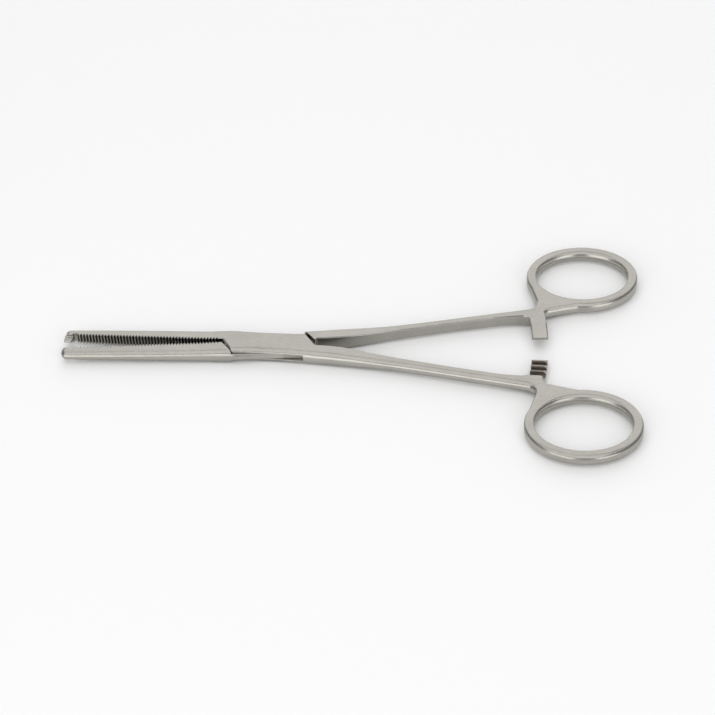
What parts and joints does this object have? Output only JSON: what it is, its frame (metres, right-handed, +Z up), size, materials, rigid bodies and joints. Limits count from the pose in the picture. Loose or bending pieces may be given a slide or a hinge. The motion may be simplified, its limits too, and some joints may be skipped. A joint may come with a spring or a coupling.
{
  "type": "hemostatic forceps",
  "caption": "Straight box-lock forceps with cross-serrated jaws, interlocking tip teeth, a ratchet catch and oval finger rings, lying flat and slightly open.",
  "frame": {"origin": "the pivot axis at the level of the box lock's underside", "axes": "+X from the pivot towards the finger rings, +Y across the instrument towards the ring of the half with the tongue, +Z up along the pivot"},
  "size_m": [0.1594, 0.085, 0.0049],
  "materials": {
    "female_steel": "satin",
    "male_steel": "satin",
    "pin_steel": "satin"
  },
  "bodies": {
    "slotted_half": {"female_half": "female_steel", "pivot_pin": "pin_steel"},
    "tongue_half": {"male_half": "male_steel"}
  },
  "joints": [
    {"name": "box_lock_hinge", "type": "hinge", "parent": "slotted_half", "child": "tongue_half", "pos_m": [0, 0, 0], "axis": [0, 0, 1], "range_deg": [-5.4, 55]}
  ]
}
